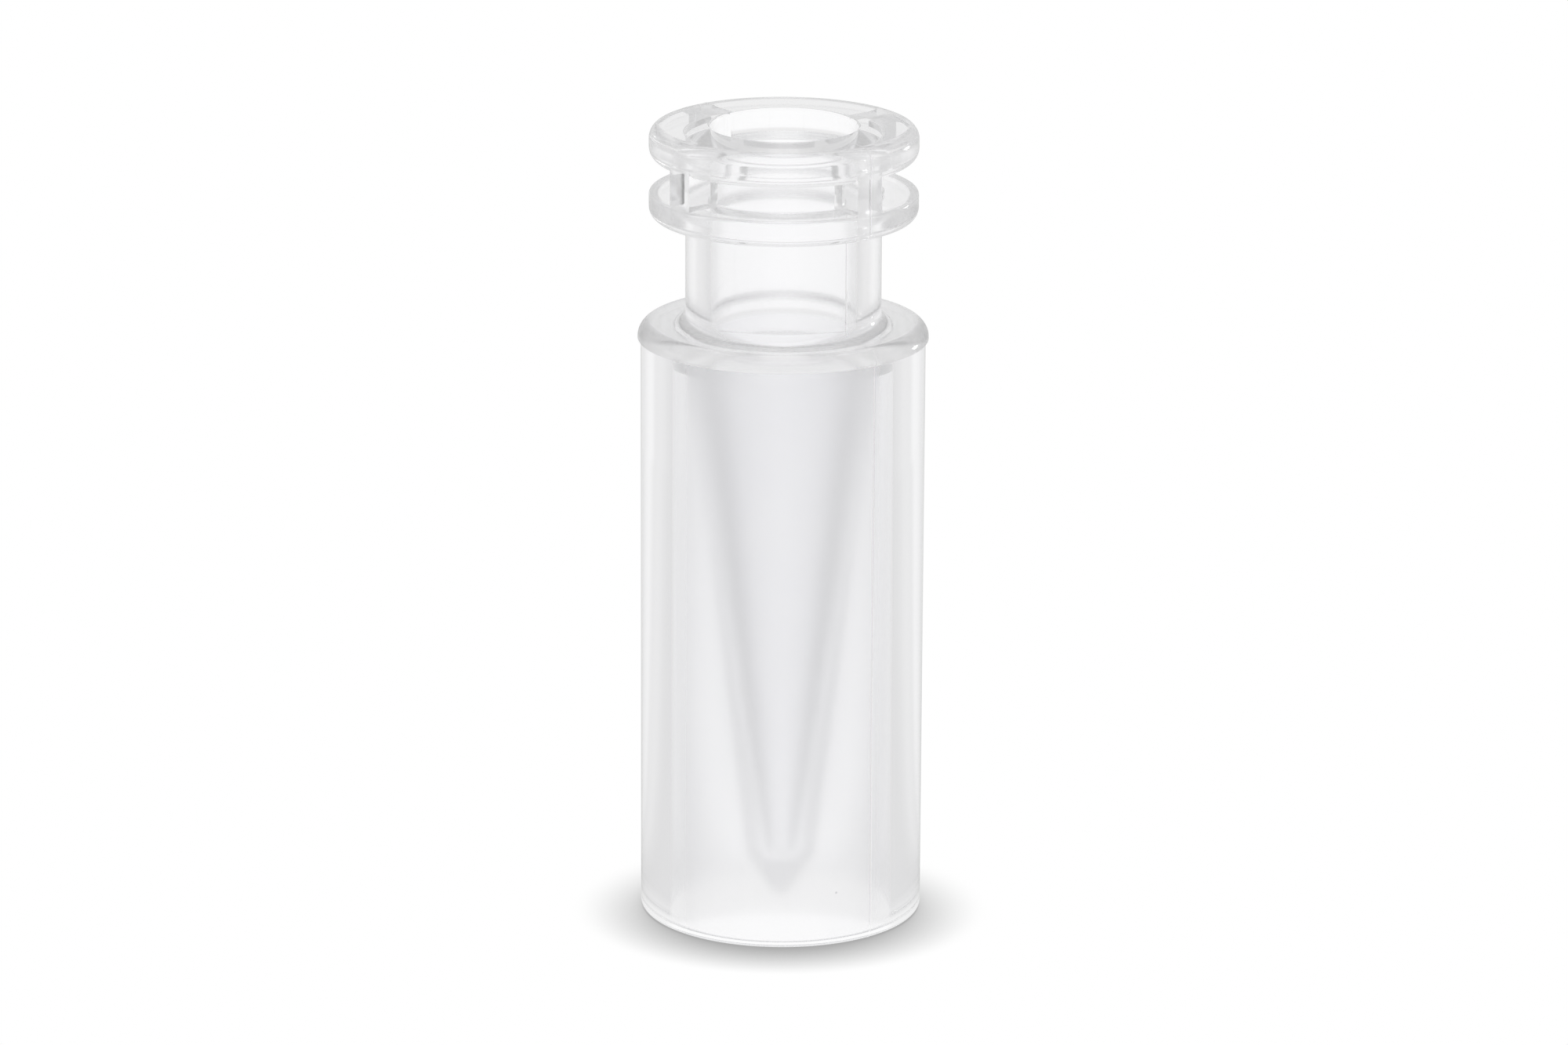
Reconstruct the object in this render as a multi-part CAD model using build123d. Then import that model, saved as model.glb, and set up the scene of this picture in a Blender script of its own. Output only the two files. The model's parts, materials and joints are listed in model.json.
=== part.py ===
from build123d import *
import math
import os

# A plastic micro vial: a small sample vessel with a conical reservoir, carried by a
# moulded snap and crimp finish at the top and standing on an open outer sleeve.
# Millimetres. The vial's axis is Z, its foot is at z = 0, and the mould's parting
# plane, which runs through two of the four ribs, is the XZ plane. Radii grow outwards from
# the bore, each by a wall, a reach or a clearance, so the pieces keep their fits.

# ---- driving dimensions: mouth and reservoir ----
mouth_radius = 2.92
mouth_round = 0.12
cone_end_radius = 0.37        # inner radius of the reservoir, level with the tip's shoulder
cone_wall = 0.98
tip_shoulder_height = 2.30    # where the outer cone turns into the pointed tip
tip_shoulder_round = 0.60
tip_half_angle = 33.0         # degrees
tip_round = 0.35

# ---- driving dimensions: outer sleeve ----
sleeve_wall = 1.18
sleeve_height = 23.85
sleeve_draft = 0.10           # how much narrower the core is at its top end, on the radius
rim_round = 0.20              # outer edge of the foot
rim_break = 0.10              # inner edge of the foot
seat_break = 0.05             # edges of the sleeve's top end

# ---- driving dimensions: shoulder and the spigot that centres the sleeve ----
shoulder_overhang = 0.12      # how far the shoulder stands out over the sleeve
shoulder_thickness = 0.65
shoulder_round = 0.60
shoulder_draft = 0.01         # the shoulder's side leans in by this much, on the radius
spigot_wall = 1.46            # from the mouth's radius to the spigot's outside
spigot_depth = 0.80
spigot_clearance = 0.02
spigot_break = 0.10
root_round = 0.30             # where the reservoir leaves the spigot's end

# ---- driving dimensions: neck and finish ----
neck_wall = 0.98
neck_foot_round = 0.45
neck_height = 4.25            # from the shoulder's top to the lower flange
flange_reach = 1.45           # how far the flanges stand out from the neck
lower_flange_thickness = 1.10
lower_flange_under_round = 0.47
lower_flange_top_round = 0.15
flange_gap = 1.25
top_flange_thickness = 1.40
top_flange_under_round = 0.54
top_flange_top_round = 0.52
groove_round = 0.10           # where each flange meets the neck

# ---- driving dimensions: ribs between the flanges ----
rib_count = 4
rib_thickness = 1.20
rib_recess = 0.03             # the ribs stop this far inside the flanges' edge
rib_root_depth = 0.30         # how far a rib is rooted in the neck and the flanges

# ---- heights that follow ----
shoulder_top = sleeve_height + shoulder_thickness
lower_flange_under = shoulder_top + neck_height
lower_flange_top = lower_flange_under + lower_flange_thickness
top_flange_under = lower_flange_top + flange_gap
overall_height = top_flange_under + top_flange_thickness

# ---- radii that follow, from the bore outwards ----
neck_radius = mouth_radius + neck_wall
flange_radius = neck_radius + flange_reach
spigot_radius = mouth_radius + spigot_wall
sleeve_top_inner = spigot_radius + spigot_clearance
sleeve_foot_inner = sleeve_top_inner + sleeve_draft
sleeve_radius = sleeve_foot_inner + sleeve_wall
shoulder_radius = sleeve_radius + shoulder_overhang
spigot_end = sleeve_height - spigot_depth

# ---- the reservoir: the bore turns conical level with the sleeve's top ----
bore_end = sleeve_height
cone_angle = math.atan((mouth_radius - cone_end_radius) / (bore_end - tip_shoulder_height))
tip_angle = math.radians(tip_half_angle)


def cone_inner_at(z):
    """Inner radius of the reservoir below the straight bore."""
    return mouth_radius - (bore_end - z) * math.tan(cone_angle)


def cone_outer_at(z):
    """Outer radius of the reservoir, one wall outside the inner cone."""
    return cone_inner_at(z) + cone_wall / math.cos(cone_angle)


tip_shoulder_radius = cone_outer_at(tip_shoulder_height)
tip_apex = tip_shoulder_height - tip_shoulder_radius / math.tan(tip_angle)
tip_centre = tip_apex + tip_round / math.sin(tip_angle)

# The well ends in a ball that touches its cone and stays one wall inside the tip.
well_centre = (
    tip_apex + (cone_inner_at(0) * math.cos(cone_angle) + cone_wall) / math.sin(tip_angle)
) / (1 - math.sin(cone_angle) / math.sin(tip_angle))
well_round = cone_inner_at(well_centre) * math.cos(cone_angle)


# The ledge under the spigot leaves room for the round at the reservoir's root.
ledge = spigot_radius - cone_outer_at(spigot_end)
ledge_round = min(root_round, 0.6 * ledge)


def round_end(centre, radius, half_angle):
    """Half of a ball's section, from the axis out to where it touches a cone."""
    sweep = math.pi / 2 - half_angle
    places = [
        (radius * math.sin(turn), 0.0, centre - radius * math.cos(turn))
        for turn in (0.0, sweep / 2, sweep)
    ]
    return ThreePointArc(*places)


def rounded_path(corners):
    """Straight runs through (radius, height, corner round), open at both ends."""
    points = [(r, 0.0, z) for r, z, _ in corners]
    return FilletPolyline(*points, radius=[c[2] for c in corners[1:-1]])


def make_ribs():
    """The webs that tie the flanges together, nearly flush with their outer edge."""
    inner = neck_radius - rib_root_depth
    outer = flange_radius - rib_recess
    low = lower_flange_top - lower_flange_top_round - rib_root_depth
    high = top_flange_under + top_flange_under_round + rib_root_depth
    length = outer + rib_root_depth - inner
    web = Pos(inner + length / 2, 0, (low + high) / 2) * Box(length, rib_thickness, high - low)
    hoop = Pos(0, 0, (low + high) / 2) * Cylinder(outer, high - low)
    return [(Rot(0, 0, turn * 360.0 / rib_count) * web) & hoop for turn in range(rib_count)]


def make_inner_vessel():
    """Finish, neck, shoulder, spigot and conical reservoir, in one moulding."""
    tip = round_end(tip_centre, tip_round, tip_angle)
    well = round_end(well_centre, well_round, cone_angle)
    reservoir = [
        ((tip @ 1).X, (tip @ 1).Z, 0.0),
        (tip_shoulder_radius, tip_shoulder_height, tip_shoulder_round),
        (cone_outer_at(spigot_end), spigot_end, ledge_round),
    ]
    shoulder = [
        (spigot_radius, spigot_end, spigot_break),
        (spigot_radius, sleeve_height, 0.0),
        (shoulder_radius, sleeve_height, 0.0),
        (shoulder_radius - shoulder_draft, shoulder_top, shoulder_round),
        (neck_radius, shoulder_top, neck_foot_round),
    ]
    finish = [
        (neck_radius, lower_flange_under, groove_round),
        (flange_radius, lower_flange_under, lower_flange_under_round),
        (flange_radius, lower_flange_top, lower_flange_top_round),
        (neck_radius, lower_flange_top, groove_round),
        (neck_radius, top_flange_under, groove_round),
        (flange_radius, top_flange_under, top_flange_under_round),
        (flange_radius, overall_height, top_flange_top_round),
    ]
    bore = [
        (mouth_radius, overall_height, mouth_round),
        (mouth_radius, bore_end, 0.0),
        ((well @ 1).X, (well @ 1).Z, 0.0),
    ]
    wall = rounded_path(reservoir + shoulder + finish + bore)
    section = make_face([tip, wall, well, Line(well @ 0, tip @ 0)])
    return revolve(section, Axis.Z) + make_ribs()


def make_outer_sleeve():
    """The open tube that the vial stands on, seated under the shoulder."""
    corners = [
        (sleeve_foot_inner, 0.0),
        (sleeve_radius, 0.0),
        (sleeve_radius, sleeve_height),
        (sleeve_top_inner, sleeve_height),
    ]
    rounds = [rim_break, rim_round, seat_break, seat_break]
    outline = FilletPolyline(*[(r, 0.0, z) for r, z in corners], radius=rounds, close=True)
    return revolve(make_face(outline), Axis.Z)


os.makedirs("parts", exist_ok=True)
pieces = {"inner_vessel": make_inner_vessel(), "outer_sleeve": make_outer_sleeve()}
for name, piece in pieces.items():
    solids = piece.solids()
    print(name, "solids", len(solids), "volume", round(piece.volume, 2), "mm3")
    export_step(solids[0] if len(solids) == 1 else Compound(solids), f"parts/{name}.step")
print("overall height", round(overall_height, 3))
print("tip of the reservoir above the foot", round(tip_centre - tip_round, 3))
print("bottom of the well above the foot", round(well_centre - well_round, 3))
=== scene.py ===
# %% [markdown]
# # A clear plastic micro vial
#
# The vial is two mouldings in clear plastic. The inner vessel is the whole upper part: two
# flanges tied by four ribs, a neck, a shoulder, and a pointed reservoir that hangs inside.
# The outer sleeve is the open tube that the vial stands on. Nothing on it moves.
#
# Clear plastic is the hard part of this lesson. A clear piece has no colour of its own to
# hide behind, so what shows is the shape of its walls, how exact its normals are, and what
# the light around it looks like.

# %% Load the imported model
import json
import math

import bpy
import numpy as np
from mathutils import Matrix, Vector


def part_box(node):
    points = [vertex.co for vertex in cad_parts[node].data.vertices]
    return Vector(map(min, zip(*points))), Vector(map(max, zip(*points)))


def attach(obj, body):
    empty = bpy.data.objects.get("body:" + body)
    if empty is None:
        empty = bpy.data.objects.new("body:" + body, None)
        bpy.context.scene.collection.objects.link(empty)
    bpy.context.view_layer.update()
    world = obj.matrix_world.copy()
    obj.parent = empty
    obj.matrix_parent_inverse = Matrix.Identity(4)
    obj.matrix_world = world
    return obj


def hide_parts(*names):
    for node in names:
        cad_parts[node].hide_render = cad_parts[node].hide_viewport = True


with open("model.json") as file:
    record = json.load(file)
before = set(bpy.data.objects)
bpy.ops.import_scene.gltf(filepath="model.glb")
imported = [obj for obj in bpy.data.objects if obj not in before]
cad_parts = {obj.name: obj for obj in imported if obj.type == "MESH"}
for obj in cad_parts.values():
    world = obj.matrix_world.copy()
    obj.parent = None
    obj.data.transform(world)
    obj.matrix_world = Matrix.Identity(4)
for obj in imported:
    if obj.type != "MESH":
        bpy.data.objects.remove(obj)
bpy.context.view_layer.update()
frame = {"record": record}

# %% [markdown]
# ## Sizes
#
# Whatever the frame knows is read from it: the radii of the finish, the mouth and the sleeve
# are mounts, and the heights are the nodes' boxes. The rest are the moulder's own sizes,
# such as the rounds on the edges, and they are written once here, in millimetres.

# %% Sizes from the frame and from the drawing
MM = 0.001
mounts = {m["name"]: m for m in frame["record"]["mounts"]}
_, vessel_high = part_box("inner_vessel")
sleeve_low, sleeve_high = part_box("outer_sleeve")

top = vessel_high.z
seat = sleeve_high.z
shoulder_radius = vessel_high.x
flange_radius = mounts["cap_finish"]["dims"]["r_mm"] * MM
mouth_radius = mounts["mouth_bore"]["dims"]["r_mm"] * MM
sleeve_radius = mounts["rack_fit"]["dims"]["r_mm"] * MM

neck_radius = 3.90 * MM
neck_foot_round = 0.45 * MM
shoulder_thickness = 0.65 * MM
shoulder_round = 0.60 * MM
shoulder_draft = 0.01 * MM
lower_flange_under = 28.75 * MM
lower_flange_top = 29.85 * MM
top_flange_under = 31.10 * MM
lower_top_round = 0.15 * MM
lower_under_round = 0.47 * MM
top_under_round = 0.54 * MM
top_round = 0.52 * MM
groove_round = 0.10 * MM
mouth_round = 0.12 * MM
rib_half = 0.60 * MM
rib_recess = 0.03 * MM
spigot_radius = 4.38 * MM
spigot_depth = 0.80 * MM
spigot_break = 0.10 * MM
root_round = 0.30 * MM
sleeve_foot_inner = 4.50 * MM
sleeve_top_inner = 4.40 * MM
cone_end_radius = 0.37 * MM
cone_wall = 0.98 * MM
tip_shoulder_height = 2.30 * MM
tip_shoulder_round = 0.60 * MM
cone_angle = math.atan((mouth_radius - cone_end_radius) / (seat - tip_shoulder_height))
tip_angle = math.radians(33.0)
tip_round = 0.35 * MM
sleeve_rim_round = 0.20 * MM
sleeve_rim_break = 0.10 * MM
sleeve_seat_break = 0.05 * MM
seat_gap = 0.015 * MM
print("height", round(top / MM, 2), "mm, widest", round(2 * shoulder_radius / MM, 2), "mm")

# %% [markdown]
# ## An outline with exact normals
#
# Both pieces are turned shapes, so each starts as half of its section: a chain of corners,
# each with its own round. Blender could guess the normals from the faces, but where a small
# round meets a long straight wall the guess leans, and in clear plastic a leaning normal
# bends what is seen through it. So the outline is sampled here with the true normal at both
# ends of every short run, and those normals are kept all the way to the finished mesh.


# %% Sample a rounded outline
def unit(v):
    """A 2D vector made one long."""
    return v / np.hypot(*v)


def outward(direction):
    """The side of a run that faces out of the plastic, with the plastic on its left."""
    return np.array([direction[1], -direction[0]])


def straight_runs(start, end, longest):
    """Short runs along a straight wall, all with one normal."""
    count = max(1, math.ceil(np.hypot(*(end - start)) / longest))
    normal = outward(unit(end - start))
    stops = [start + (end - start) * k / count for k in range(count + 1)]
    return [(a, normal, b, normal) for a, b in zip(stops, stops[1:])]


def arc_runs(centre, radius, from_turn, to_turn, bulge, steps):
    """Short runs round an arc. bulge is 1 on a convex edge and -1 in a hollow."""
    turns = np.linspace(from_turn, to_turn, steps + 1)
    normals = [np.array([math.cos(t), math.sin(t)]) for t in turns]
    stops = [centre + n * bulge * radius for n in normals]
    return [(stops[k], normals[k], stops[k + 1], normals[k + 1]) for k in range(steps)]


def corner_runs(before, corner, after, radius, steps):
    """The round between two straight walls, and where it starts and ends."""
    come, go = unit(corner - before), unit(after - corner)
    turn = math.atan2(come[0] * go[1] - come[1] * go[0], float(come @ go))
    bulge = 1 if turn > 0 else -1
    start = corner - come * radius * math.tan(abs(turn) / 2)
    centre = start - outward(come) * bulge * radius
    first = math.atan2(*outward(come)[::-1])
    return arc_runs(centre, radius, first, first + turn, bulge, steps)


def outline(corners, longest=1.5 * MM, closed=False):
    """Runs through (radius, height, round, steps) corners, open at both ends or closed."""
    points = [np.array(c[:2], float) for c in corners]
    rounds = []
    for k, corner in enumerate(corners):
        is_end = not closed and k in (0, len(corners) - 1)
        if corner[2] and not is_end:
            rounds.append(corner_runs(points[k - 1], points[k], points[(k + 1) % len(points)],
                                      corner[2], corner[3]))
        else:
            rounds.append([])
    runs = []
    for k in range(len(points) if closed else len(points) - 1):
        after = (k + 1) % len(points)
        leave = rounds[k][-1][2] if rounds[k] else points[k]
        reach = rounds[after][0][0] if rounds[after] else points[after]
        runs += straight_runs(leave, reach, longest)
        if after or closed:
            runs += rounds[after]
    return runs


# %% [markdown]
# ## Columns round the axis
#
# The mould opens in two equal halves, and a fine raised line, the witness line, runs up the
# vial where they meet. So one half is drawn, and Geometry Nodes will turn it round. The
# columns of the half stand on planes beside the ribs' middle planes, which makes the ribs'
# sides flat, and fill the pockets between them evenly. Three close columns at each mould
# edge carry half of the witness line.

# %% Columns of one mould half
QUARTER = math.pi / 2
witness_height = 0.014 * MM
witness_half = 0.055 * MM
witness_offsets = [0.018 * MM, 0.036 * MM, witness_half]
rib_offsets = [0.2 * MM, 0.4 * MM, rib_half]
middle_rib_offsets = [-rib_half, -0.3 * MM, 0.0, 0.3 * MM, rib_half]
pocket_columns = 36


def half_columns():
    """(plane, offset from it, share of the pocket) for each column, mould edge to mould edge."""
    beside = witness_offsets + rib_offsets
    columns = [(0, s, None) for s in [0.0] + beside]
    columns += [(0, None, k / pocket_columns) for k in range(1, pocket_columns)]
    columns += [(1, s, None) for s in middle_rib_offsets]
    columns += [(1, None, k / pocket_columns) for k in range(1, pocket_columns)]
    columns += [(2, -s, None) for s in reversed([0.0] + beside)]
    return columns


def column_angle(column, radius):
    """Which way a column stands at a radius. Inside the neck it keeps the neck's angle."""
    plane, offset, share = column
    edge = math.asin(rib_half / max(radius, neck_radius))
    if share is None:
        return plane * QUARTER + math.asin(offset / max(radius, neck_radius))
    return plane * QUARTER + edge + share * (QUARTER - 2 * edge)


def witness(column):
    """Height of the witness line at a column, and its slope along the surface."""
    plane, offset, share = column
    if share is not None or plane == 1 or abs(offset) >= witness_half:
        return 0.0, 0.0
    fall = 1 - (offset / witness_half) ** 2
    return witness_height * fall ** 2, -4 * witness_height * offset / witness_half ** 2 * fall


columns = half_columns()
rib_edges = [k for k, (_, offset, _) in enumerate(columns)
             if offset is not None and math.isclose(abs(offset), rib_half)]
print(len(columns), "columns in a half; rib edges at", rib_edges)

# %% [markdown]
# ## One mould half as a mesh
#
# Each run of the outline becomes a band of faces between neighbouring columns. A run may be
# limited to the pockets, as the groove between the flanges is, or to the ribs. Every face
# corner stores which way the true surface faces there, as radial, sideways and upward parts,
# which stay right however the half is turned about the axis.


# %% Build a half from runs
ON_AXIS = 1e-9           # nearer the axis than this, in metres, a stop is a pole


class HalfMesh:
    """Collects the vertices, faces and true normals of one mould half."""

    def __init__(self):
        self.index, self.places, self.faces, self.facing = {}, [], [], []
        self.lift = {}

    def key(self, stop):
        """A stop's place in whole steps of 0.01 micrometre, to find the same stop again."""
        return (round(stop[0] * 1e8), round(stop[1] * 1e8))

    def raise_witness(self, runs):
        """Lets the witness line run over these runs, along their own normals."""
        for a, na, b, nb in runs:
            for stop, normal in ((a, na), (b, nb)):
                self.lift.setdefault(self.key(stop), []).append(normal)

    def vertex(self, stop, k):
        """The number of the vertex at a stop on column k, made if it is new."""
        on_axis = stop[0] < ON_AXIS
        name = (self.key(stop), 0 if on_axis else k)
        if name not in self.index:
            r, z = stop
            height, _ = witness(columns[k])
            if height and self.key(stop) in self.lift:
                push = unit(sum(self.lift[self.key(stop)]))
                r, z = r + push[0] * height, z + push[1] * height
            angle = column_angle(columns[k], stop[0])
            self.index[name] = len(self.places)
            self.places.append((r * math.cos(angle), r * math.sin(angle), z))
        return self.index[name]

    def facing_at(self, stop, normal, k):
        """Radial, sideways and upward parts of the surface's normal at a column."""
        _, slope = witness(columns[k]) if self.key(stop) in self.lift else (0.0, 0.0)
        return np.array([normal[0], -slope, normal[1]]) / math.sqrt(1 + slope * slope)

    def band(self, runs, first, last):
        """Faces along runs between two columns."""
        for a, na, b, nb in runs:
            for k in range(first, last):
                ring = [(a, na, k), (a, na, k + 1), (b, nb, k + 1), (b, nb, k)]
                if a[0] < ON_AXIS:
                    ring = ring[1:]
                elif b[0] < ON_AXIS:
                    ring = ring[:3]
                self.faces.append([self.vertex(stop, at) for stop, _, at in ring])
                self.facing += [self.facing_at(*corner) for corner in ring]

    def rib_side(self, groove, edge, k, faces_on):
        """The flat side of a rib: the groove's outline closed by the rib's outer edge."""
        stops = [run[0] for run in groove] + [groove[-1][2]]
        stops += [run[0] for run in reversed(edge)][:-1]
        if not faces_on:
            stops.reverse()
        self.faces.append([self.vertex(stop, k) for stop in stops])
        side = 1.0 if faces_on else -1.0
        for stop in stops:
            turn = math.asin(rib_half / max(stop[0], neck_radius))
            self.facing.append(np.array([-math.sin(turn), side * math.cos(turn), 0.0]))

    def make(self, name):
        """The half as mesh data, with its normals in a corner attribute."""
        mesh = bpy.data.meshes.new(name)
        mesh.from_pydata(self.places, [], self.faces)
        layer = mesh.attributes.new("facing", "FLOAT_VECTOR", "CORNER")
        layer.data.foreach_set("vector", np.array(self.facing, np.float32).ravel())
        mesh.validate()
        return mesh


# %% [markdown]
# ## Turning the half round
#
# The node tree below is the mould's own rule: make two copies, turn each by its share of the
# circle, weld the seam, and give it the material. Instances are made real before the tree
# ends, so the finished piece is a plain mesh.


# %% A Geometry Nodes tree that repeats a piece about the axis
def turned_copies_tree():
    """Copies of the incoming mesh, spread evenly about the Z axis and welded."""
    tree = bpy.data.node_groups.new("turned_copies", "GeometryNodeTree")
    face = tree.interface
    face.new_socket("Mesh", in_out="INPUT", socket_type="NodeSocketGeometry")
    count = face.new_socket("Copies", in_out="INPUT", socket_type="NodeSocketInt")
    weld = face.new_socket("Weld Distance", in_out="INPUT", socket_type="NodeSocketFloat")
    finish = face.new_socket("Material", in_out="INPUT", socket_type="NodeSocketMaterial")
    face.new_socket("Mesh", in_out="OUTPUT", socket_type="NodeSocketGeometry")
    count.min_value, count.default_value = 1, 2

    add, link = tree.nodes.new, tree.links.new
    given, result = add("NodeGroupInput"), add("NodeGroupOutput")
    points = add("GeometryNodePoints")
    number = add("GeometryNodeInputIndex")
    step = add("ShaderNodeMath")
    step.operation = "DIVIDE"
    step.inputs[0].default_value = 2 * math.pi
    turn = add("ShaderNodeMath")
    turn.operation = "MULTIPLY"
    about_z = add("ShaderNodeCombineXYZ")
    copies = add("GeometryNodeInstanceOnPoints")
    real = add("GeometryNodeRealizeInstances")
    merge = add("GeometryNodeMergeByDistance")
    paint = add("GeometryNodeSetMaterial")

    link(given.outputs["Copies"], points.inputs["Count"])
    link(given.outputs["Copies"], step.inputs[1])
    link(number.outputs["Index"], turn.inputs[0])
    link(step.outputs["Value"], turn.inputs[1])
    link(turn.outputs["Value"], about_z.inputs["Z"])
    link(points.outputs["Points"], copies.inputs["Points"])
    link(given.outputs["Mesh"], copies.inputs["Instance"])
    link(about_z.outputs["Vector"], copies.inputs["Rotation"])
    link(copies.outputs["Instances"], real.inputs["Geometry"])
    link(real.outputs["Geometry"], merge.inputs["Geometry"])
    link(given.outputs["Weld Distance"], merge.inputs["Distance"])
    link(merge.outputs["Geometry"], paint.inputs["Geometry"])
    link(given.outputs["Material"], paint.inputs["Material"])
    link(paint.outputs["Geometry"], result.inputs["Mesh"])
    return tree, {"Copies": count.identifier, "Weld Distance": weld.identifier,
                  "Material": finish.identifier}


MOULD_HALVES = 2
weld_distance = 0.0005 * MM
turned_copies, turned_inputs = turned_copies_tree()
print(turned_copies.name, "has", len(turned_copies.nodes), "nodes")


def turn_round(half, name, material):
    """Both halves welded into one plain mesh object with its true normals."""
    seed = bpy.data.objects.new(name + "_half", half)
    bpy.context.scene.collection.objects.link(seed)
    spin = seed.modifiers.new("turned copies", "NODES")
    spin.node_group = turned_copies
    spin[turned_inputs["Copies"]] = MOULD_HALVES
    spin[turned_inputs["Weld Distance"]] = weld_distance
    spin[turned_inputs["Material"]] = material
    bpy.context.view_layer.update()
    graph = bpy.context.evaluated_depsgraph_get()
    mesh = bpy.data.meshes.new_from_object(seed.evaluated_get(graph))
    bpy.data.objects.remove(seed)
    piece = bpy.data.objects.new(name, mesh)
    bpy.context.scene.collection.objects.link(piece)
    keep_true_normals(mesh)
    return piece


def keep_true_normals(mesh):
    """Turns the stored radial, sideways and upward parts into the mesh's own normals."""
    corners = len(mesh.loops)
    facing = np.zeros(corners * 3, np.float32)
    mesh.attributes["facing"].data.foreach_get("vector", facing)
    facing = facing.reshape(-1, 3)
    at = np.zeros(corners, np.int32)
    mesh.loops.foreach_get("vertex_index", at)
    places = np.zeros(len(mesh.vertices) * 3, np.float32)
    mesh.vertices.foreach_get("co", places)
    places = places.reshape(-1, 3)[at]
    reach = np.maximum(np.hypot(places[:, 0], places[:, 1]), ON_AXIS)
    out = np.stack([places[:, 0] / reach, places[:, 1] / reach, 0 * reach], 1)
    side = np.stack([-out[:, 1], out[:, 0], 0 * reach], 1)
    normals = out * facing[:, :1] + side * facing[:, 1:2]
    normals[:, 2] += facing[:, 2]
    mesh.attributes.remove(mesh.attributes["facing"])
    mesh.polygons.foreach_set("use_smooth", [True] * len(mesh.polygons))
    mesh.normals_split_custom_set(normals.tolist())


def report(piece):
    """Prints a piece's size and whether its surface is closed."""
    edges = {}
    for face in piece.data.polygons:
        for a, b in face.edge_keys:
            edges[(a, b)] = edges.get((a, b), 0) + 1
    loose = sum(1 for n in edges.values() if n != 2)
    triangles = sum(len(f.vertices) - 2 for f in piece.data.polygons)
    print(piece.name, triangles, "triangles, open edges:", loose,
          "size", [round(d / MM, 2) for d in piece.dimensions])


# %% [markdown]
# ## The finish of clear plastic
#
# Clear polypropylene is a Principled surface with full transmission and the plastic's own
# index of refraction. It is never as clear as glass. The steel of the mould prints its own
# texture: the cavity is polished, the core is not. So the outside is glossy, the faces that
# the core made are frosted, the groove and the rims of the flanges are a little dull, and a
# few specks sit in the resin. One shader group makes all of that from object coordinates,
# and each material sets its own strengths.
#
# Frost hides less and less as a face turns away: at a glance even a dull wall mirrors
# cleanly. Layer Weight measures that turn. It stays in the material, outside the group, and
# takes the frost off where the sleeve's inner wall is seen aslant.


# %% Helpers that place shader nodes
def value_node(tree, operation, a, b=0.0):
    """A Math node. a and b are sockets or numbers."""
    node = tree.nodes.new("ShaderNodeMath")
    node.operation = operation
    for socket, given in zip(node.inputs, (a, b)):
        if isinstance(given, (int, float)):
            socket.default_value = given
        else:
            tree.links.new(given, socket)
    return node.outputs["Value"]


def noise_node(tree, place, scale, detail):
    """A noise texture at a place, with its scale in bumps per metre."""
    node = tree.nodes.new("ShaderNodeTexNoise")
    node.inputs["Scale"].default_value = scale
    node.inputs["Detail"].default_value = detail
    tree.links.new(place, node.inputs["Vector"])
    return node.outputs["Fac"]


def stretched(tree, place, sizes):
    """The same place with each axis scaled on its own."""
    node = tree.nodes.new("ShaderNodeMapping")
    node.inputs["Scale"].default_value = sizes
    tree.links.new(place, node.inputs["Vector"])
    return node.outputs["Vector"]


def blend_node(tree, factor, a, b, kind="FLOAT"):
    """A Mix node between two sockets or plain values."""
    node = tree.nodes.new("ShaderNodeMix")
    node.data_type = kind
    near = [k for k in node.inputs if k.enabled]
    tree.links.new(factor, near[0])
    for socket, given in zip(near[1:], (a, b)):
        if isinstance(given, bpy.types.NodeSocket):
            tree.links.new(given, socket)
        else:
            socket.default_value = given
    return next(k for k in node.outputs if k.enabled)


# %% Shader group: what moulding leaves in a clear wall
DRIFT_SCALE, DRIFT_DETAIL = 260.0, 3.0       # scales count features in a metre
LINES_SCALE, LINES_DETAIL = 2600.0, 2.0
LINES_STRETCH = (1.0, 1.0, 0.06)             # draw lines run along the axis
RIPPLE_SCALE, RIPPLE_DETAIL = 420.0, 1.0
SPECK_CELLS, SPECK_REACH = 240.0, 0.012
SPECK_COLOUR = (0.30, 0.30, 0.32, 1)


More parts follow.
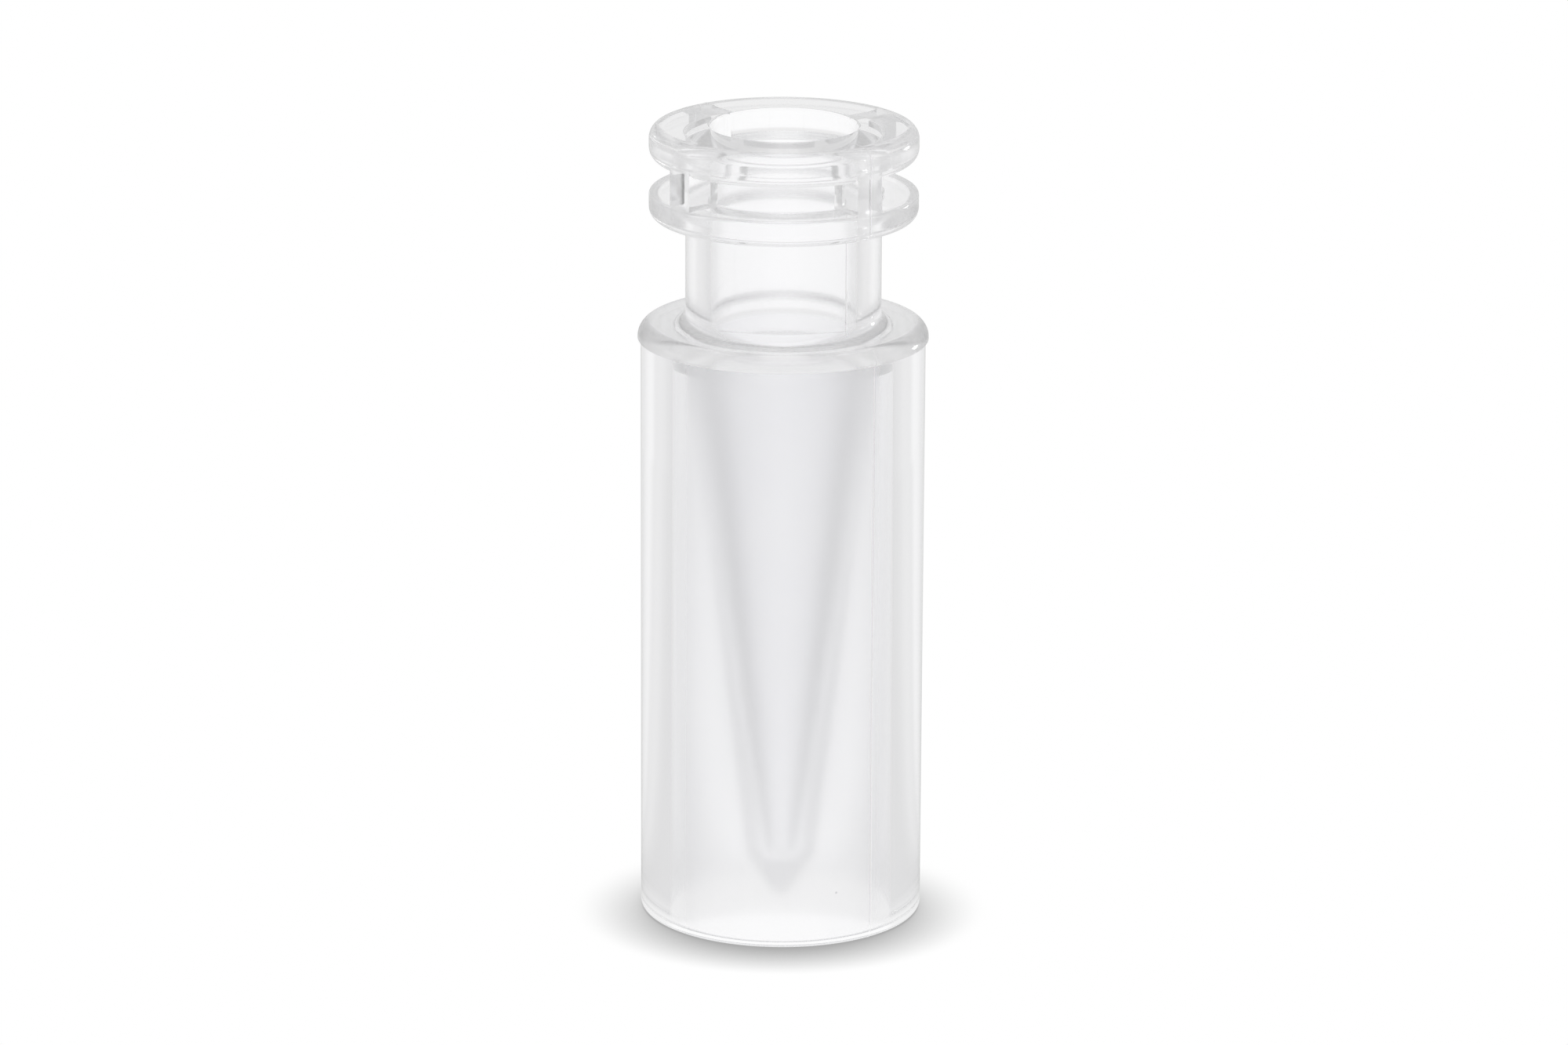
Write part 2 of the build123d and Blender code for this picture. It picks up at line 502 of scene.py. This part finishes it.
def moulded_wall_group():
    """Tint, roughness and height that drift over a moulded clear wall."""
    tree = bpy.data.node_groups.new("moulded_wall", "ShaderNodeTree")
    face = tree.interface
    inputs = {
        "Clear Colour": ("NodeSocketColor", (0.95, 0.95, 0.96, 1)),
        "Haze Colour": ("NodeSocketColor", (0.92, 0.92, 0.94, 1)),
        "Polish": ("NodeSocketFloat", 0.05),
        "Frost": ("NodeSocketFloat", 0.2),
        "Rim Frost": ("NodeSocketFloat", 0.2),
        "Core Radius": ("NodeSocketFloat", 0.003),
        "Core Height": ("NodeSocketFloat", 1.0),
        "Frost Below": ("NodeSocketFloat", -1.0),
        "Groove Foot": ("NodeSocketFloat", 1.0),
        "Groove Head": ("NodeSocketFloat", 1.0),
        "Rim Radius": ("NodeSocketFloat", 1.0),
        "Haze": ("NodeSocketFloat", 0.03),
        "Draw Lines": ("NodeSocketFloat", 0.3),
        "Specks": ("NodeSocketFloat", 0.5),
    }
    for name, (kind, default) in inputs.items():
        socket = face.new_socket(name, in_out="INPUT", socket_type=kind)
        socket.default_value = default
    face.new_socket("Colour", in_out="OUTPUT", socket_type="NodeSocketColor")
    face.new_socket("Roughness", in_out="OUTPUT", socket_type="NodeSocketFloat")
    face.new_socket("Height", in_out="OUTPUT", socket_type="NodeSocketFloat")

    add, link = tree.nodes.new, tree.links.new
    given, result = add("NodeGroupInput"), add("NodeGroupOutput")
    place = add("ShaderNodeTexCoord").outputs["Object"]

    drift = noise_node(tree, place, DRIFT_SCALE, DRIFT_DETAIL)
    lines = noise_node(tree, stretched(tree, place, LINES_STRETCH), LINES_SCALE, LINES_DETAIL)
    ripple = noise_node(tree, place, RIPPLE_SCALE, RIPPLE_DETAIL)

    split = add("ShaderNodeSeparateXYZ")
    link(place, split.inputs["Vector"])
    across = value_node(tree, "MULTIPLY", split.outputs["X"], split.outputs["X"])
    along = value_node(tree, "MULTIPLY", split.outputs["Y"], split.outputs["Y"])
    reach = value_node(tree, "SQRT", value_node(tree, "ADD", across, along))
    up = split.outputs["Z"]
    inside = value_node(tree, "LESS_THAN", reach, given.outputs["Core Radius"])
    core = value_node(tree, "LESS_THAN", up, given.outputs["Core Height"])
    core = value_node(tree, "MULTIPLY", core, inside)
    under = value_node(tree, "LESS_THAN", up, given.outputs["Frost Below"])
    frosted = value_node(tree, "MAXIMUM", core, under)
    above = value_node(tree, "GREATER_THAN", up, given.outputs["Groove Foot"])
    below = value_node(tree, "LESS_THAN", up, given.outputs["Groove Head"])
    groove = value_node(tree, "MULTIPLY", above, below)
    beyond = value_node(tree, "GREATER_THAN", reach, given.outputs["Rim Radius"])
    rims = value_node(tree, "MAXIMUM", groove, beyond)

    cells = add("ShaderNodeTexVoronoi")
    cells.feature = "F1"
    cells.inputs["Scale"].default_value = SPECK_CELLS
    link(place, cells.inputs["Vector"])
    speck = value_node(tree, "LESS_THAN", cells.outputs["Distance"], SPECK_REACH)
    speck = value_node(tree, "MULTIPLY", speck, given.outputs["Specks"])

    tint = blend_node(tree, drift, given.outputs["Clear Colour"], given.outputs["Haze Colour"], "RGBA")
    colour = blend_node(tree, speck, tint, SPECK_COLOUR, "RGBA")
    finish = blend_node(tree, frosted, given.outputs["Polish"], given.outputs["Frost"])
    finish = blend_node(tree, rims, finish, given.outputs["Rim Frost"])
    rough = value_node(tree, "MULTIPLY", drift, given.outputs["Haze"])
    rough = value_node(tree, "ADD", rough, finish)
    lined = value_node(tree, "MULTIPLY", lines, given.outputs["Draw Lines"])
    height = value_node(tree, "ADD", lined, ripple)

    link(colour, result.inputs["Colour"])
    link(rough, result.inputs["Roughness"])
    link(height, result.inputs["Height"])
    return tree


moulded_wall = moulded_wall_group()
print(moulded_wall.name, "has", len(moulded_wall.nodes), "nodes")


# %% Materials of the two mouldings
PLASTIC_IOR = 1.49
RELIEF_STRENGTH, RELIEF_DEPTH = 0.05, 0.004 * MM
GLANCE_STARTS, GLANCE_FULL = 0.17, 0.27      # how far a face has turned away, from 0 to 1


def clear_plastic(name, settings, glance_finish):
    """Clear polypropylene. glance_finish is the share of the roughness left at a glance."""
    material = bpy.data.materials.new(name)
    material.use_nodes = True
    tree = material.node_tree
    add, link = tree.nodes.new, tree.links.new
    surface = tree.nodes["Principled BSDF"]
    surface.inputs["IOR"].default_value = PLASTIC_IOR
    surface.inputs["Transmission Weight"].default_value = 1.0
    wall = add("ShaderNodeGroup")
    wall.node_tree = moulded_wall
    for socket, value in settings.items():
        wall.inputs[socket].default_value = value
    relief = add("ShaderNodeBump")
    relief.inputs["Strength"].default_value = RELIEF_STRENGTH
    relief.inputs["Distance"].default_value = RELIEF_DEPTH
    turned = add("ShaderNodeLayerWeight")
    turned.inputs["Blend"].default_value = 0.5
    glance = add("ShaderNodeMapRange")
    glance.interpolation_type = "SMOOTHSTEP"
    glance.inputs["From Min"].default_value = GLANCE_STARTS
    glance.inputs["From Max"].default_value = GLANCE_FULL
    glance.inputs["To Min"].default_value = 1.0
    glance.inputs["To Max"].default_value = glance_finish
    link(turned.outputs["Facing"], glance.inputs["Value"])
    finish = value_node(tree, "MULTIPLY", wall.outputs["Roughness"], glance.outputs["Result"])
    link(wall.outputs["Colour"], surface.inputs["Base Color"])
    link(finish, surface.inputs["Roughness"])
    link(wall.outputs["Height"], relief.inputs["Height"])
    link(relief.outputs["Normal"], surface.inputs["Normal"])
    print("material", name)
    return material


vessel_plastic = clear_plastic("clear_vessel_plastic", {
    "Clear Colour": (1.0, 1.0, 1.0, 1), "Haze Colour": (0.985, 0.985, 0.995, 1),
    "Polish": 0.04, "Frost": 0.11, "Rim Frost": 0.10,
    "Core Radius": 3.0 * MM, "Core Height": lower_flange_under,
    "Frost Below": seat + 0.75 * MM, "Rim Radius": 5.05 * MM,
    "Groove Foot": lower_flange_top + 0.01 * MM, "Groove Head": top_flange_under - 0.01 * MM,
    "Haze": 0.03, "Draw Lines": 0.2, "Specks": 0.4}, glance_finish=1.0)
sleeve_plastic = clear_plastic("clear_sleeve_plastic", {
    "Clear Colour": (0.995, 0.995, 1.0, 1), "Haze Colour": (0.98, 0.98, 0.99, 1),
    "Polish": 0.03, "Frost": 0.30, "Core Radius": 5.0 * MM,
    "Haze": 0.02, "Draw Lines": 0.5, "Specks": 0.6}, glance_finish=0.15)

# %% [markdown]
# ## The inner vessel
#
# Its outline starts at the pointed tip, climbs the cone and the shoulder, goes in and out
# round the finish, and comes back down the bore into the well. The groove between the
# flanges belongs to the pockets only; between them each rib closes it with an outer face
# that stops just inside the flanges' edge.


# %% Outline of the inner vessel
def cone_inner_at(z):
    """Inner radius of the reservoir below the straight bore."""
    return mouth_radius - (seat - z) * math.tan(cone_angle)


def cone_outer_at(z):
    """Outer radius of the reservoir, one wall further out."""
    return cone_inner_at(z) + cone_wall / math.cos(cone_angle)


def ball_end(centre, radius, half_angle, steps, inside):
    """Runs of a ball that closes a cone on the axis, seen from outside or from in the well."""
    place = np.array([0.0, centre])
    if inside:
        return arc_runs(place, radius, math.pi - half_angle, math.pi / 2, -1, steps)
    return arc_runs(place, radius, -math.pi / 2, -half_angle, 1, steps)


def flange_edge(z, radius, from_turn, to_turn, steps):
    """Part of the round on a flange's edge. z is the height of the round's centre."""
    centre = np.array([flange_radius - radius, z])
    return arc_runs(centre, radius, from_turn, to_turn, 1, steps)


tip_apex = tip_shoulder_height - cone_outer_at(tip_shoulder_height) / math.tan(tip_angle)
tip_centre = tip_apex + tip_round / math.sin(tip_angle)
well_centre = (
    tip_apex + (cone_inner_at(0) * math.cos(cone_angle) + cone_wall) / math.sin(tip_angle)
) / (1 - math.sin(cone_angle) / math.sin(tip_angle))
well_round = cone_inner_at(well_centre) * math.cos(cone_angle)

tip_ball = ball_end(tip_centre, tip_round, tip_angle, 8, False)
well_ball = ball_end(well_centre, well_round, cone_angle, 12, True)

lower_turn = math.acos(1 - rib_recess / lower_top_round)
upper_turn = math.acos(1 - rib_recess / top_under_round)
rim_under_steps = 3
rim_top_steps = 14
lower_centre = lower_flange_top - lower_top_round
upper_centre = top_flange_under + top_under_round

below = tip_ball + outline([
    (*tip_ball[-1][2], 0, 0),
    (cone_outer_at(tip_shoulder_height), tip_shoulder_height, tip_shoulder_round, 6),
    (cone_outer_at(seat - spigot_depth), seat - spigot_depth, root_round, 6),
    (spigot_radius, seat - spigot_depth, spigot_break, 4),
    (spigot_radius, seat, 0, 0),
    (shoulder_radius, seat, 0, 0),
])
side = outline([
    (shoulder_radius, seat, 0, 0),
    (shoulder_radius - shoulder_draft, seat + shoulder_thickness, shoulder_round, 14),
    (neck_radius, seat + shoulder_thickness, neck_foot_round, 10),
    (neck_radius, lower_flange_under, groove_round, 4),
    (flange_radius, lower_flange_under, lower_under_round, 12),
    (flange_radius, lower_centre, 0, 0),
]) + flange_edge(lower_centre, lower_top_round, 0.0, lower_turn, 2)
groove = flange_edge(lower_centre, lower_top_round, lower_turn, QUARTER, 4) + outline([
    (flange_radius - lower_top_round, lower_flange_top, 0, 0),
    (neck_radius, lower_flange_top, groove_round, 4),
    (neck_radius, top_flange_under, groove_round, 4),
    (flange_radius - top_under_round, top_flange_under, 0, 0),
]) + flange_edge(upper_centre, top_under_round, -QUARTER, -upper_turn, 9)
rib_edge = straight_runs(groove[0][0], groove[-1][2], 0.4 * MM)
rim = flange_edge(upper_centre, top_under_round, -upper_turn, 0.0, rim_under_steps) + outline([
    (flange_radius, upper_centre, 0, 0),
    (flange_radius, top, top_round, rim_top_steps),
    (mouth_radius, top, mouth_round, 5),
    (mouth_radius, seat, 0, 0),
    (*well_ball[0][0], 0, 0),
]) + well_ball
print(len(below) + len(side) + len(groove) + len(rim), "runs in the vessel's outline")


# %% Mesh of the inner vessel
def make_vessel():
    """The vessel's half, with its pockets and ribs, turned round."""
    half = HalfMesh()
    outer_rim = rim[:rim_under_steps + 1 + rim_top_steps]
    half.raise_witness(side + rib_edge + outer_rim)
    last = len(columns) - 1
    for runs in (below, side, rim):
        half.band(runs, 0, last)
    first_edge, second_edge, third_edge, fourth_edge = rib_edges
    half.band(groove, first_edge, second_edge)
    half.band(groove, third_edge, fourth_edge)
    half.band(rib_edge, 0, first_edge)
    half.band(rib_edge, second_edge, third_edge)
    half.band(rib_edge, fourth_edge, last)
    for k, faces_on in zip(rib_edges, (True, False, True, False)):
        half.rib_side(groove, rib_edge, k, faces_on)
    return turn_round(half.make("vessel_half"), "clear_inner_vessel", vessel_plastic)


vessel = make_vessel()
report(vessel)

# %% [markdown]
# ## The outer sleeve
#
# A plain tube with a little draft inside, so that it slides off its core, and soft edges at
# the foot. It sits a hair under the shoulder: two clear walls that touch exactly would
# confuse the light between them, and a real joint has that hair of air too.


# %% Outline and mesh of the outer sleeve
FACES_OUT = 0.3          # the witness line stays on runs whose normals lean out by more than this


def make_sleeve():
    """The sleeve's half, turned round."""
    foot = sleeve_low.z
    end = seat - seat_gap
    walls = outline([
        (sleeve_foot_inner, foot, sleeve_rim_break, 4),
        (sleeve_radius, foot, sleeve_rim_round, 8),
        (sleeve_radius, end, sleeve_seat_break, 3),
        (sleeve_top_inner, end, sleeve_seat_break, 3),
    ], closed=True)
    half = HalfMesh()
    half.raise_witness([run for run in walls if min(run[1][0], run[3][0]) > FACES_OUT])
    half.band(walls, 0, len(columns) - 1)
    return turn_round(half.make("sleeve_half"), "clear_outer_sleeve", sleeve_plastic)


sleeve = make_sleeve()
report(sleeve)

# %% Tie the pieces to the frame
for piece, node, slot in (
    (vessel, "inner_vessel", "clear_vessel"),
    (sleeve, "outer_sleeve", "clear_sleeve"),
):
    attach(piece, "root")
    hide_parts(node)
    print(piece.name, "rides on root, replaces", node, "and shows in the slot", slot)

# %% [markdown]
# ## Camera
#
# A long lens from a little above, so the mouth shows as a flat ellipse and the sides stay
# nearly parallel.

# %% The camera
view_azimuth = math.radians(50.6)
view_distance = 0.26575
view_height = 0.09465
look_at_height = 0.01611
look_aside = 0.00007     # how far the lens points to the right of the vial's axis
lean = 0.005             # how far the camera rolls, in radians
lens_length, sensor_width = 158.4, 36.0


def aim_camera():
    """A long-lens camera that looks slightly down at the vial."""
    data = bpy.data.cameras.new("camera")
    data.lens = lens_length
    data.sensor_width = sensor_width
    data.clip_start, data.clip_end = 0.01, 10.0
    camera = bpy.data.objects.new("camera", data)
    bpy.context.scene.collection.objects.link(camera)
    place = Vector((math.sin(view_azimuth) * view_distance,
                    -math.cos(view_azimuth) * view_distance, view_height))
    upward = Vector((0, 0, 1))
    aim = upward * look_at_height
    right = (aim - place).cross(upward).normalized()
    ahead = (aim + right * look_aside - place).normalized()
    right = ahead.cross(upward).normalized()
    up = right.cross(ahead)
    x = right * math.cos(lean) + up * math.sin(lean)
    y = up * math.cos(lean) - right * math.sin(lean)
    turn = Matrix((x, y, -ahead)).transposed().to_4x4()
    camera.matrix_world = Matrix.Translation(place) @ turn
    bpy.context.scene.camera = camera
    print("camera", [round(c, 3) for c in place], "with a lens of", lens_length, "mm")


aim_camera()

# %% [markdown]
# ## Light
#
# The room is white all round, with two broad soft panels, one behind the vial and one in
# front, a calmer tone between them and a calmer one still at the sides. Clear walls are
# drawn by that difference: straight through, they show a panel, and where they bend the
# light aside, they show the calmer tones. The camera itself sees plain white.
#
# One group turns a direction into that tone, so that the world and the floor share it.

# %% Where the panels stand and how bright the room is
behind_azimuth = math.atan2(math.cos(view_azimuth), -math.sin(view_azimuth))
PANEL_EDGE, PANEL_FULL = 0.53, 0.82          # cosines of the turn about the axis
SIDE_EDGE, SIDE_FULL = 0.3, -0.6
PANEL_TOP, PANEL_BODY = 0.16, 0.02           # how steeply a direction climbs
calm_tone = 0.86
side_tone = 0.77
mirror_loss = 0.35
print("first panel at", round(math.degrees(behind_azimuth), 1), "degrees about the axis")


# %% Shader group: soft panels round the room
def smooth_step(tree, value, start, end):
    """0 before start, 1 after end, and an even ramp between them, either way round."""
    node = tree.nodes.new("ShaderNodeMapRange")
    node.interpolation_type = "SMOOTHSTEP"
    node.inputs["From Min"].default_value = min(start, end)
    node.inputs["From Max"].default_value = max(start, end)
    node.inputs["To Min"].default_value = 0.0 if start < end else 1.0
    node.inputs["To Max"].default_value = 1.0 if start < end else 0.0
    tree.links.new(value, node.inputs["Value"])
    return node.outputs["Result"]


def soft_panels_group():
    """Brightness that rises and falls round the Z axis, from a direction or a place."""
    tree = bpy.data.node_groups.new("soft_panels", "ShaderNodeTree")
    face = tree.interface
    face.new_socket("Direction", in_out="INPUT", socket_type="NodeSocketVector")
    for name, default in (("Panels", 2.0), ("First Panel", 0.0),
                          ("Calm Tone", calm_tone), ("Side Tone", side_tone)):
        socket = face.new_socket(name, in_out="INPUT", socket_type="NodeSocketFloat")
        socket.default_value = default
    face.new_socket("Tone", in_out="OUTPUT", socket_type="NodeSocketFloat")
    add, link = tree.nodes.new, tree.links.new
    given, result = add("NodeGroupInput"), add("NodeGroupOutput")
    split = add("ShaderNodeSeparateXYZ")
    link(given.outputs["Direction"], split.inputs["Vector"])
    turn = value_node(tree, "ARCTAN2", split.outputs["Y"], split.outputs["X"])
    turn = value_node(tree, "SUBTRACT", turn, given.outputs["First Panel"])
    turn = value_node(tree, "MULTIPLY", turn, given.outputs["Panels"])
    facing = value_node(tree, "COSINE", turn)
    across = smooth_step(tree, facing, PANEL_EDGE, PANEL_FULL)
    aside = smooth_step(tree, facing, SIDE_EDGE, SIDE_FULL)
    low = smooth_step(tree, split.outputs["Z"], PANEL_TOP, PANEL_BODY)
    panel = value_node(tree, "MULTIPLY", across, low)
    calm = blend_node(tree, aside, given.outputs["Calm Tone"], given.outputs["Side Tone"])
    tone = blend_node(tree, panel, calm, 1.0)
    link(tone, result.inputs["Tone"])
    return tree


soft_panels = soft_panels_group()
print(soft_panels.name, "has", len(soft_panels.nodes), "nodes")


# %% Place the panels, and dim what is only mirrored
def panels_node(tree, direction):
    """The soft panels, the first of them straight behind the vial."""
    node = tree.nodes.new("ShaderNodeGroup")
    node.node_tree = soft_panels
    node.inputs["First Panel"].default_value = behind_azimuth
    tree.links.new(direction, node.inputs["Direction"])
    return node.outputs["Tone"]


def mirror_level(tree, path):
    """1, or less where the surroundings are only seen mirrored in a surface."""
    through = value_node(tree, "SUBTRACT", 1.0, path.outputs["Is Transmission Ray"])
    mirrored = value_node(tree, "MULTIPLY", path.outputs["Is Glossy Ray"], through)
    lost = value_node(tree, "MULTIPLY", mirrored, mirror_loss)
    return value_node(tree, "SUBTRACT", 1.0, lost)


# %% The world
def studio_world():
    """White to the camera; soft panels all round for everything else."""
    world = bpy.data.worlds.new("studio")
    bpy.context.scene.world = world
    world.use_nodes = True
    tree = world.node_tree
    tree.nodes.clear()
    add, link = tree.nodes.new, tree.links.new
    tone = panels_node(tree, add("ShaderNodeTexCoord").outputs["Generated"])
    path = add("ShaderNodeLightPath")
    seen = value_node(tree, "MULTIPLY", tone, mirror_level(tree, path))
    level = blend_node(tree, path.outputs["Is Camera Ray"], seen, 1.0)

    sky = add("ShaderNodeBackground")
    sky.inputs["Color"].default_value = (1, 1, 1, 1)
    link(level, sky.inputs["Strength"])
    link(sky.outputs["Background"], add("ShaderNodeOutputWorld").inputs["Surface"])
    print("world", world.name, "with tones 1.0,", calm_tone, "and", side_tone)


studio_world()

# %% [markdown]
# ## Floor
#
# The floor is a white disc. To the camera it is as white as the background, except where the
# vial stands close over it: an Ambient Occlusion node darkens that ring. Its normal leans
# away from the camera, towards the light, so the shadow falls forward. Seen through the
# plastic, the floor shows the room's own tones, with a pool of light under the open foot.

# %% Sizes and tones of the floor
floor_radius, floor_sides = 70 * MM, 96
shadow_reach = 3.2 * MM
SHADOW_SAMPLES = 24
SHADOW_LEAN, SHADOW_RISE = 0.6, 0.8          # parts of the leaning normal, along and up
OPEN_FROM, OPEN_TO = 0.35, 0.95              # how open the floor is to the light around it
shadow_tone = 0.42
pool_centre, pool_edge, pool_body = 7.2 * MM, 6.5 * MM, 5.9 * MM
foot_tone = 0.92
foot_ends, room_starts = 4.8 * MM, 7.0 * MM
print("shadow reaches", round(shadow_reach / MM, 1), "mm from the foot")


# %% Two looks of the floor: to the camera, and through the plastic
def toward_light(length):
    """A level vector of this length that points away from the camera."""
    return Vector((length * math.cos(behind_azimuth), length * math.sin(behind_azimuth), 0))


def contact_shade(tree):
    """Tone of the floor to the camera: white, and darker close round the foot."""
    near = tree.nodes.new("ShaderNodeAmbientOcclusion")
    near.samples = SHADOW_SAMPLES
    near.inputs["Distance"].default_value = shadow_reach
    lean = tree.nodes.new("ShaderNodeCombineXYZ")
    along = toward_light(SHADOW_LEAN)
    lean.inputs["X"].default_value = along.x
    lean.inputs["Y"].default_value = along.y
    lean.inputs["Z"].default_value = SHADOW_RISE
    tree.links.new(lean.outputs["Vector"], near.inputs["Normal"])
    shade = tree.nodes.new("ShaderNodeMapRange")
    shade.inputs["From Min"].default_value = OPEN_FROM
    shade.inputs["From Max"].default_value = OPEN_TO
    shade.inputs["To Min"].default_value = shadow_tone
    shade.inputs["To Max"].default_value = 1.0
    tree.links.new(near.outputs["AO"], shade.inputs["Value"])
    return shade.outputs["Result"]


def room_shade(tree, path):
    """Tone of the floor as the plastic shows it: a pool at the foot, then the room's tones."""
    place = tree.nodes.new("ShaderNodeTexCoord").outputs["Object"]
    reach = tree.nodes.new("ShaderNodeVectorMath")
    reach.operation = "LENGTH"
    tree.links.new(place, reach.inputs[0])
    pool = tree.nodes.new("ShaderNodeVectorMath")
    pool.operation = "DISTANCE"
    pool.inputs[1].default_value = toward_light(-pool_centre)
    tree.links.new(place, pool.inputs[0])
    pooled = smooth_step(tree, pool.outputs["Value"], pool_edge, pool_body)
    under = blend_node(tree, pooled, foot_tone, 1.0)
    far = smooth_step(tree, reach.outputs["Value"], foot_ends, room_starts)
    around = value_node(tree, "MULTIPLY", panels_node(tree, place), mirror_level(tree, path))
    return blend_node(tree, far, under, around)


# %% Floor with a soft contact shadow
def white_floor():
    """A disc that holds the contact shadow."""
    turns = [2 * math.pi * k / floor_sides for k in range(floor_sides)]
    mesh = bpy.data.meshes.new("floor")
    mesh.from_pydata([(floor_radius * math.cos(t), floor_radius * math.sin(t), 0.0)
                      for t in turns], [], [list(range(floor_sides))])
    floor = bpy.data.objects.new("floor", mesh)
    bpy.context.scene.collection.objects.link(floor)

    material = bpy.data.materials.new("white_floor")
    material.use_nodes = True
    tree = material.node_tree
    tree.nodes.clear()
    add, link = tree.nodes.new, tree.links.new
    path = add("ShaderNodeLightPath")
    level = blend_node(tree, path.outputs["Is Camera Ray"], room_shade(tree, path),
                       contact_shade(tree))
    glow = add("ShaderNodeEmission")
    glow.inputs["Color"].default_value = (1, 1, 1, 1)
    link(level, glow.inputs["Strength"])
    link(glow.outputs["Emission"], add("ShaderNodeOutputMaterial").inputs["Surface"])
    mesh.materials.append(material)
    print("floor", round(2 * floor_radius / MM), "mm across")


white_floor()

# %% [markdown]
# ## Highlights
#
# One small lamp stands to the side. It shows only in reflections, as the bright spots where
# the rounded edges turn towards it.


# %% Highlight lamp
lamp_size, lamp_watts = 0.05, 0.1
lamp_distance = 0.35
lamp_aim = Vector((0, 0, 0.02))
lamp_direction = Vector((0.06, 1.0, 0.03))


def highlight_lamp():
    """A small area lamp that only reflections see."""
    data = bpy.data.lights.new("highlight", "AREA")
    data.shape = "DISK"
    data.size = lamp_size
    data.energy = lamp_watts
    lamp = bpy.data.objects.new("highlight", data)
    bpy.context.scene.collection.objects.link(lamp)
    away = lamp_direction.normalized()
    turn = (-away).to_track_quat("-Z", "Y").to_matrix().to_4x4()
    lamp.matrix_world = Matrix.Translation(away * lamp_distance + lamp_aim) @ turn
    lamp.visible_camera = False
    lamp.visible_transmission = False
    print("lamp", lamp_watts, "W, seen only mirrored")


highlight_lamp()

# %% [markdown]
# ## Render settings
#
# Light that is trapped in a clear wall bounces many times before it finds a way out. With
# too few bounces it is cut off, and the wall shows black slivers.

# %% Render settings that keep clear walls clean
BOUNCES = 64
scene = bpy.context.scene
scene.view_settings.view_transform = "Standard"
scene.cycles.max_bounces = BOUNCES
scene.cycles.transmission_bounces = BOUNCES
scene.cycles.glossy_bounces = BOUNCES
print("up to", BOUNCES, "bounces")
